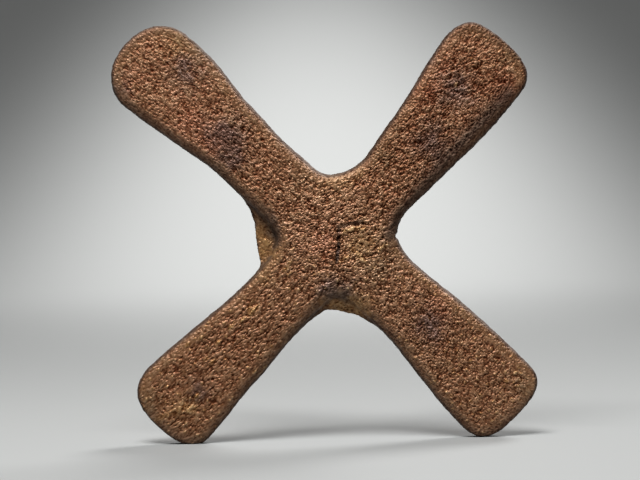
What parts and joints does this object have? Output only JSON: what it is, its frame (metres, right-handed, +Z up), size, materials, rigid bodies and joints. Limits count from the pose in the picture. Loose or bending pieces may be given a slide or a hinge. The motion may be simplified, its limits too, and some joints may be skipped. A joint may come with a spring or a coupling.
{
  "type": "cast copper cross",
  "caption": "Flat X-shaped cast copper currency ingot with flaring round-ended arms, soft shoulders, thin fins in the crotches and a level back.",
  "frame": {"origin": "on the ground, at the middle of the cross's width and thickness", "axes": "+Z up as the cross stands on its lower arms, +X to the right as seen from the front, +Y from the textured face through the casting to its level back"},
  "size_m": [0.2014, 0.01, 0.2011],
  "materials": {
    "copper": "dull brown patina over a sand-cast surface"
  },
  "bodies": {
    "root": {"cross_casting": "copper"}
  },
  "joints": []
}
